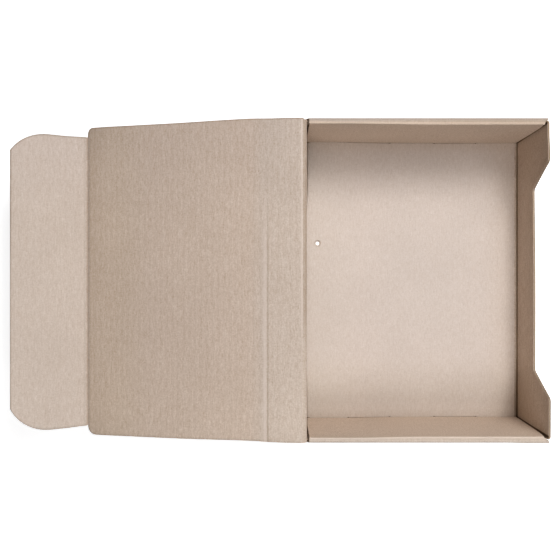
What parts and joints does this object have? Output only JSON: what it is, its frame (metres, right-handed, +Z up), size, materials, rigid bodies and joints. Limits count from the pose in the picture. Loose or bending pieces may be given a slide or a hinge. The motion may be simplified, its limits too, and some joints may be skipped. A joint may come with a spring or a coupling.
{
  "type": "archive transfer box",
  "caption": "Low corrugated box with rolled double side walls, a notched front wall and a hinged lid with a tuck flap, standing open.",
  "frame": {"origin": "centre of the tray's underside", "axes": "+X from the rear wall with the lid to the notched front wall, +Y along the lid's crease, +Z up"},
  "size_m": [0.5675, 0.34, 0.1027],
  "materials": {
    "board": "matt uncoated kraft"
  },
  "bodies": {
    "tray": {"tray": "board"},
    "lid_rear": {"lid_rear": "board"},
    "lid_panel": {"lid_panel": "board"},
    "tuck_flap": {"tuck_flap": "board"}
  },
  "joints": [
    {"name": "lid_hinge", "type": "hinge", "parent": "tray", "child": "lid_rear", "pos_m": [-0.1273, 0, 0.1015], "axis": [0, 1, 0], "range_deg": [-12, 179]},
    {"name": "lid_bend", "type": "hinge", "parent": "lid_rear", "child": "lid_panel", "pos_m": [-0.1682, 0, 0.1015], "axis": [0, 1, 0], "range_deg": [-0.8, 11.95]},
    {"name": "tuck_fold", "type": "hinge", "parent": "lid_panel", "child": "tuck_flap", "pos_m": [-0.36916, 0, 0.06098], "axis": [0, 1, 0], "range_deg": [-4.3, 63]}
  ],
  "couplings": [
    {"joint": "lid_bend", "follows": "lid_hinge", "ratio": 0.06648},
    {"joint": "tuck_fold", "follows": "lid_hinge", "ratio": 0.3514}
  ]
}
